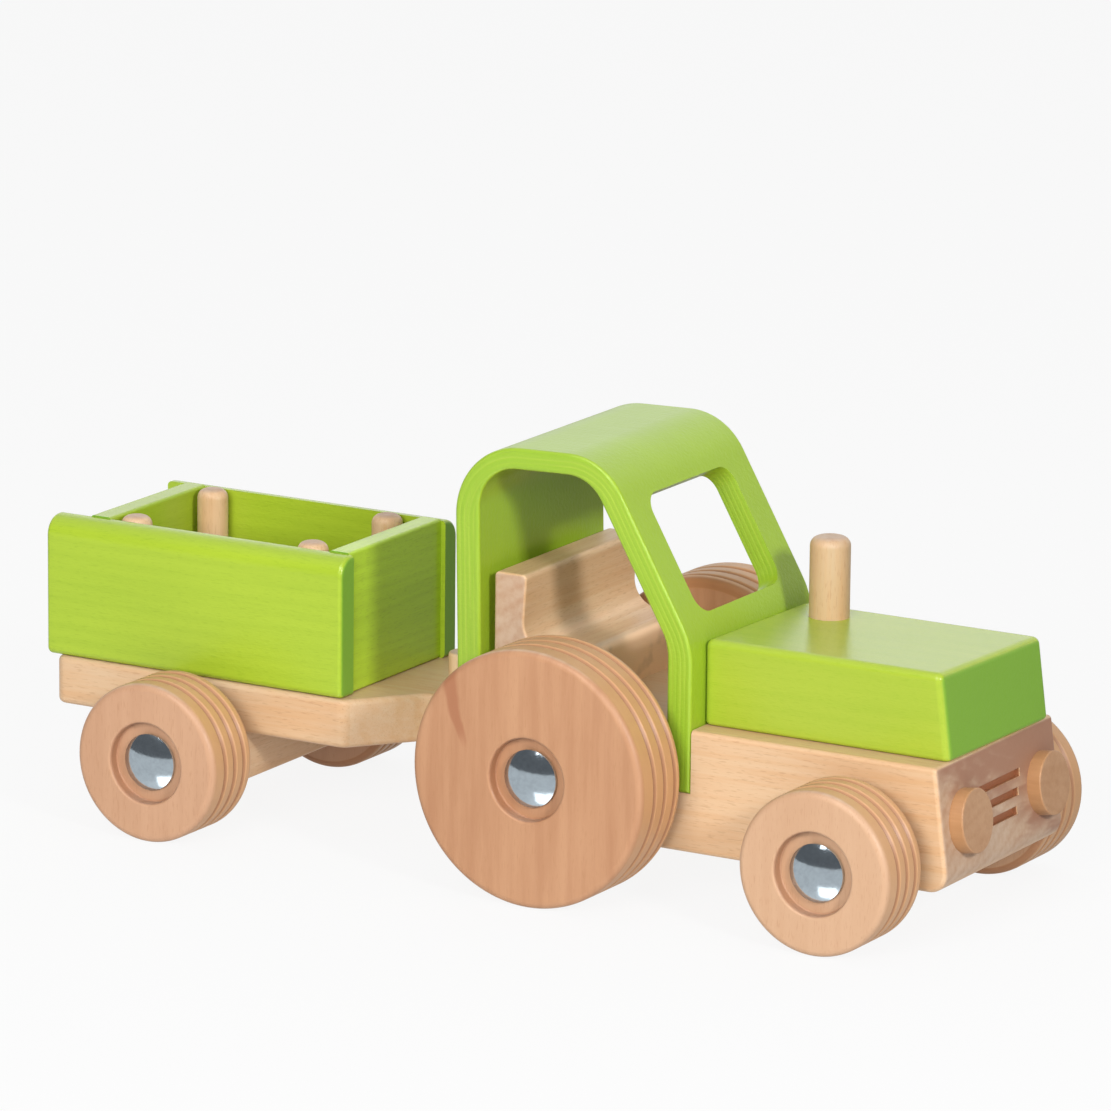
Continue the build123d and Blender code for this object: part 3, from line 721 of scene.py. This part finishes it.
def cab_skin_depth(finish):
    """Millimetres inward from the outside of the bent cab, round its bends as well."""
    x = finish.part_of(finish.place, ALONG_X) * MILLIMETRES
    z = finish.part_of(finish.place, ALONG_Z) * MILLIMETRES
    outline = [(Vector((across, up)), bend) for across, up, bend in cab_outline()]
    ways = [(end - start).normalized() for (start, _), (end, _) in zip(outline, outline[1:])]
    inwards = [Vector((way.y, -way.x)) for way in ways]
    depths = [
        (x - start.x) * inward.x + (z - start.y) * inward.y
        for (start, _), inward in zip(outline, inwards)
    ]
    depth = depths[0]
    for other in depths[1:]:
        depth = depth.least(other)
    for n, (corner, bend) in enumerate(outline[1:-1]):
        before, after = ways[n], ways[n + 1]
        halfway = (inwards[n] + inwards[n + 1]).normalized()
        centre = corner + halfway * bend / halfway.dot(inwards[n])
        from_x, from_z = x - centre.x, z - centre.y
        past_start = from_x * before.x + from_z * before.y
        past_end = from_x * -after.x + from_z * -after.y
        in_bend = past_start.step(-BEND_EDGE, BEND_EDGE) * past_end.step(-BEND_EDGE, BEND_EDGE)
        round_depth = bend - (from_x ** 2 + from_z ** 2) ** 0.5
        depth = depth + in_bend * (round_depth - depth)
    return depth


def steel(name, tint, smoothest, roughest):
    """Polished or drawn steel with the marks of its turning."""
    finish = Finish(name)
    place = sawn_place(finish, ALONG_Y, 2.0)
    along, across, up = place
    radius = (across ** 2 + up ** 2) ** 0.5
    marks = grained_noise(finish, place, TURNING_GRAIN, 4.0, 0.6)
    turned = finish.noise(finish.joined(radius * 2.5, along * 0.2, along * 0.1), 2.0)
    colour = finish.mixed(marks.step(*TURNING_RANGE) * 0.35, tint, toned(tint, 0.72))
    roughness = smoothest + (marks * 0.6 + turned * 0.4) * (roughest - smoothest)
    finish.surface(colour, roughness, marks, TURNING_DEPTH, metallic=1.0)
    return finish.material


def dress(node, material):
    """Give a CAD node its finish."""
    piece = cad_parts[node]
    piece.data.materials.clear()
    piece.data.materials.append(material)


# ---------------------------------------------------------------- operators


class TRACTOR_OT_body(bpy.types.Operator):
    """Finish the chassis, drawbar, seat, exhaust peg and hitch pin"""

    bl_idname = "tractor.body"
    bl_label = "Beech Body"

    def execute(self, context):
        wood = context.scene.tractor_beech
        pale, dark = wood.pale[:], wood.dark[:]
        dress("chassis", beech(
            "body_beech", toned(pale, 0.92), dark, ALONG_X, 0, detail=nose_figure,
        ))
        dress("drawbar", beech("drawbar_beech", pale, dark, ALONG_X, 21))
        dress("seat", beech(
            "seat_beech", pale, dark, ALONG_Y, 34, pith=SEAT_PITH, detail=seat_light_and_smudges,
        ))
        dress("exhaust_peg", beech("peg_beech", toned(pale, 0.75), dark, ALONG_Z, 47))
        dress("hitch_pin", beech("hitch_pin_beech", pale, dark, ALONG_Z, 55))
        return {"FINISHED"}


class TRACTOR_OT_headlights(bpy.types.Operator):
    """Finish the two turned headlights"""

    bl_idname = "tractor.headlights"
    bl_label = "Headlights"

    def execute(self, context):
        wood = context.scene.tractor_beech
        pale, dark = wood.lamp_pale[:], wood.lamp_dark[:]
        for node, shift in (("headlight_left", 60), ("headlight_right", 73)):
            dress(node, beech(f"{node}_beech", pale, dark, ALONG_X, shift, end_share=0.25))
        return {"FINISHED"}


class TRACTOR_OT_dowels(bpy.types.Operator):
    """Finish the joining dowels, the trailer's stakes and the box's corner pins"""

    bl_idname = "tractor.dowels"
    bl_label = "Dowels and Stakes"

    def execute(self, context):
        wood = context.scene.tractor_beech
        pegs = sorted(
            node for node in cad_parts
            if any(word in node for word in ("dowel", "stake", "pins"))
        )
        for count, node in enumerate(pegs):
            lying = "cab_dowel" in node or "pins" in node
            grain = ALONG_X if lying else ALONG_Z
            shift = 80 + 7 * count
            dress(node, beech(f"{node}_beech", wood.pale[:], wood.dark[:], grain, shift))
        return {"FINISHED"}


class TRACTOR_OT_trailer(bpy.types.Operator):
    """Finish the trailer's base and axle block"""

    bl_idname = "tractor.trailer"
    bl_label = "Trailer Base"

    def execute(self, context):
        wood = context.scene.tractor_beech
        pale, dark = wood.pale[:], wood.dark[:]
        dress("trailer_base", beech(
            "trailer_base_beech", toned(pale, 0.9), dark, ALONG_X, 140, pith=TRAILER_PITH,
            sawn_tints=(wood.sanded[:], pale), end_share=0.8,
        ))
        dress("trailer_axle_block", beech("axle_block_beech", pale, dark, ALONG_Y, 150))
        return {"FINISHED"}


class TRACTOR_OT_wheels(bpy.types.Operator):
    """Finish the six turned wheels"""

    bl_idname = "tractor.wheels"
    bl_label = "Wheels"

    def execute(self, context):
        wood = context.scene.tractor_beech
        wheels = sorted(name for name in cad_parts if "wheel" in name)
        looks = {
            "rear": (wood.rear_pale[:], wood.rear_dark[:], 0.5),
            "front": (wood.front_pale[:], wood.front_dark[:], 0.22),
            "trailer": (wood.trailer_pale[:], wood.trailer_dark[:], 0.22),
        }
        for count, node in enumerate(wheels):
            pale, dark, streaks = looks[node.split("_")[0]]
            dress(node, beech(
                f"{node}_beech", pale, dark, ALONG_Z, 200 + 17 * count, rings_share=0.06,
                streaks_share=streaks, streak_width=WHEEL_STREAK_WIDTH,
                detail=partial(turned_wood, node),
            ))
        return {"FINISHED"}


class TRACTOR_OT_metal(bpy.types.Operator):
    """Finish the polished hub caps and the axles"""

    bl_idname = "tractor.metal"
    bl_label = "Caps and Axles"

    def execute(self, context):
        metal = context.scene.tractor_metal
        cap = steel("polished_cap", metal.cap[:], smoothest=0.06, roughest=0.16)
        axle = steel("drawn_axle", metal.axle[:], smoothest=0.25, roughest=0.4)
        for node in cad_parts:
            if "_cap_" in node:
                dress(node, cap)
            elif node.endswith("_axle"):
                dress(node, axle)
        return {"FINISHED"}


class TRACTOR_OT_green(bpy.types.Operator):
    """Lacquer the hood and the trailer's boards"""

    bl_idname = "tractor.green"
    bl_label = "Green Boards and Hood"

    def execute(self, context):
        lacquer = context.scene.tractor_lacquer
        green, lit_front_green = lacquer.green[:], lacquer.lit_front_green[:]
        dress("hood", green_wood("hood_lacquer", lacquer.hood_green[:], ALONG_X, 4))
        dress("side_board_left", green_wood("left_board_lacquer", green, ALONG_X, 31))
        dress("side_board_right", green_wood("right_board_lacquer", green, ALONG_X, 47))
        # The front board gets the lighter green, which is painted light
        dress("end_board_front", green_wood("front_board_lit_lacquer", lit_front_green, ALONG_Y, 63))
        dress("end_board_rear", green_wood("rear_board_lacquer", green, ALONG_Y, 79))
        return {"FINISHED"}


class TRACTOR_OT_cab(bpy.types.Operator):
    """Lacquer the bent plywood cab"""

    bl_idname = "tractor.cab"
    bl_label = "Plywood Cab"

    def execute(self, context):
        dress("cab", green_ply("cab_lacquer"))
        return {"FINISHED"}


def direction(azimuth, elevation):
    """The way from the tractor toward a place, by its turn from the side and its height."""
    return Vector((
        math.sin(azimuth) * math.cos(elevation),
        -math.cos(azimuth) * math.cos(elevation),
        math.sin(elevation),
    ))


def softbox(name, azimuth, elevation, distance, width, height, power, aim, mirrored=True):
    """A soft light that faces the tractor; one that isn't mirrored stays out of the gloss."""
    lamp = bpy.data.lights.new(name, "AREA")
    lamp.shape = "RECTANGLE"
    lamp.size = width
    lamp.size_y = height
    lamp.energy = power
    placed = bpy.data.objects.new(name, lamp)
    bpy.context.scene.collection.objects.link(placed)
    away = direction(math.radians(azimuth), math.radians(elevation))
    placed.rotation_euler = away.to_track_quat("Z", "Y").to_euler()
    placed.location = aim + away * distance
    placed.visible_glossy = mirrored
    return placed


class TRACTOR_OT_stage(bpy.types.Operator):
    """Set the pale floor, the soft studio lights and the camera"""

    bl_idname = "tractor.stage"
    bl_label = "Floor, Lights and Camera"

    def execute(self, context):
        studio = context.scene.tractor_studio
        low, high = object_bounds()
        aim = Vector(((low.x + high.x) / 2, 0.0, AIM_HEIGHT))
        self.lay_floor(studio)
        self.hang_lights(studio, aim)
        self.light_room()
        self.place_camera(context, studio)
        context.scene.view_settings.view_transform = "Standard"
        return {"FINISHED"}

    def lay_floor(self, studio):
        """Pale paper: plain for the camera, and a glow with a weak shine for the tractor."""
        bpy.ops.object.select_all(action="DESELECT")
        bpy.ops.mesh.primitive_plane_add(size=FLOOR_SIZE, location=(0.0, 0.0, 0.0))
        floor = bpy.context.object
        floor.name = "studio_floor"
        finish = Finish("floor_paper")
        mottle = finish.noise(finish.place, 2.0)
        tone = finish.mixed(mottle, studio.floor[:], toned(studio.floor, 0.995))
        plain = finish.blended(
            FLOOR_SEEN_GLOW,
            finish.node("ShaderNodeBsdfDiffuse", None, {"Color": tone}),
            finish.node("ShaderNodeEmission", None, {"Color": tone, "Strength": 1.0}),
        )
        before = 1 - finish.part_of(finish.place, ALONG_Y).step(*FLOOR_FAR_RANGE)
        glow = finish.blended(
            before,
            finish.node("ShaderNodeEmission", None, {"Color": tone, "Strength": FLOOR_FAR_GLOW}),
            finish.node("ShaderNodeEmission", None, {"Color": tone, "Strength": FLOOR_NEAR_GLOW}),
        )
        shine = finish.node(
            "ShaderNodeBsdfGlossy", None, {"Color": tone, "Roughness": FLOOR_ROUGHNESS},
        )
        camera_ray = finish.node("ShaderNodeLightPath", output="Is Camera Ray")
        lighting = finish.blended(FLOOR_SHINE, glow, shine)
        finish.output(finish.blended(camera_ray, lighting, plain))
        floor.data.materials.append(finish.material)
        floor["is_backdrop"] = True

    def hang_lights(self, studio, aim):
        """A large softbox at the side, a card that only glints, and a small light in front."""
        softbox(
            "key_softbox", azimuth=10, elevation=22, distance=1.5, width=0.9, height=0.6,
            power=studio.key_power, aim=aim, mirrored=False,
        )
        card = softbox(
            "glint_card", azimuth=5, elevation=47, distance=1.5, width=0.9, height=0.6,
            power=studio.key_power * 0.5, aim=aim,
        )
        card.visible_diffuse = False
        softbox(
            "front_light", azimuth=60, elevation=24, distance=1.4, width=0.18, height=0.18,
            power=studio.front_power, aim=aim,
        )

    def light_room(self):
        """A pale room: plain for the camera, bright behind the tractor and dark before it."""
        room = bpy.data.worlds.new("studio_room")
        room.use_nodes = True
        bpy.context.scene.world = room
        paint = NodeBoard(room.node_tree)
        way = paint.node("ShaderNodeTexCoord", output="Generated")
        bright_way = direction(BRIGHT_AZIMUTH, BRIGHT_ELEVATION)
        behind = paint.part_of(way, bright_way).step(*BRIGHT_RANGE)
        overhead = paint.part_of(way, ALONG_Z).step(*OVERHEAD_RANGE)
        walls = paint.mixed(behind, DARK_WALL, BRIGHT_WALL)
        sides = paint.mixed(overhead, walls, CEILING)
        around = paint.node("ShaderNodeBackground", None, {"Color": sides})
        plain = paint.node("ShaderNodeBackground", None, {"Color": opaque(BACKDROP)})
        camera_ray = paint.node("ShaderNodeLightPath", output="Is Camera Ray")
        paint.output(paint.blended(camera_ray, around, plain), "ShaderNodeOutputWorld")

    def place_camera(self, context, studio):
        """A long lens from the side, turned toward the nose and a little above."""
        away = direction(studio.azimuth, studio.elevation)
        right = Vector((math.cos(studio.azimuth), math.sin(studio.azimuth), 0.0))
        up = away.cross(right)
        turned_right = right * math.cos(studio.roll) + up * math.sin(studio.roll)
        turned_up = up * math.cos(studio.roll) - right * math.sin(studio.roll)
        axes = Matrix((turned_right, turned_up, away)).transposed().to_4x4()
        axle_low, axle_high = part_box("rear_axle")
        target = Vector(((axle_low.x + axle_high.x) / 2 - VIEW_BEHIND_AXLE, 0.0, VIEW_HEIGHT))
        axes.translation = target + away * studio.distance
        lens = bpy.data.cameras.new("studio_camera")
        lens.sensor_width = SENSOR_WIDTH
        lens.lens = studio.lens
        camera = bpy.data.objects.new("studio_camera", lens)
        context.scene.collection.objects.link(camera)
        camera.matrix_world = axes
        context.scene.camera = camera


OPERATORS = (
    TRACTOR_OT_body,
    TRACTOR_OT_headlights,
    TRACTOR_OT_dowels,
    TRACTOR_OT_trailer,
    TRACTOR_OT_wheels,
    TRACTOR_OT_metal,
    TRACTOR_OT_green,
    TRACTOR_OT_cab,
    TRACTOR_OT_stage,
)


class VIEW3D_PT_toy_tractor(bpy.types.Panel):
    """Pieces and settings of the toy tractor"""

    bl_label = "Toy Tractor"
    bl_idname = "VIEW3D_PT_toy_tractor"
    bl_space_type = "VIEW_3D"
    bl_region_type = "UI"
    bl_category = "Toy Tractor"

    def draw(self, context):
        for operator in OPERATORS:
            self.layout.operator(operator.bl_idname)
        for name, group in SETTINGS.items():
            box = self.layout.box()
            for setting in group.__annotations__:
                box.prop(getattr(context.scene, name), setting)


def register():
    """Add the settings, the operators and the panel."""
    for group in SETTINGS.values():
        bpy.utils.register_class(group)
    for name, group in SETTINGS.items():
        setattr(bpy.types.Scene, name, bpy.props.PointerProperty(type=group))
    for operator in OPERATORS:
        bpy.utils.register_class(operator)
    bpy.utils.register_class(VIEW3D_PT_toy_tractor)


def unregister():
    """Remove the panel, the operators and the settings."""
    bpy.utils.unregister_class(VIEW3D_PT_toy_tractor)
    for operator in reversed(OPERATORS):
        bpy.utils.unregister_class(operator)
    for name, group in reversed(SETTINGS.items()):
        delattr(bpy.types.Scene, name)
        bpy.utils.unregister_class(group)


def main():
    """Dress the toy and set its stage."""
    register()
    for operator in OPERATORS:
        family, action = operator.bl_idname.split(".")
        getattr(getattr(bpy.ops, family), action)()


if __name__ == "__main__":
    main()
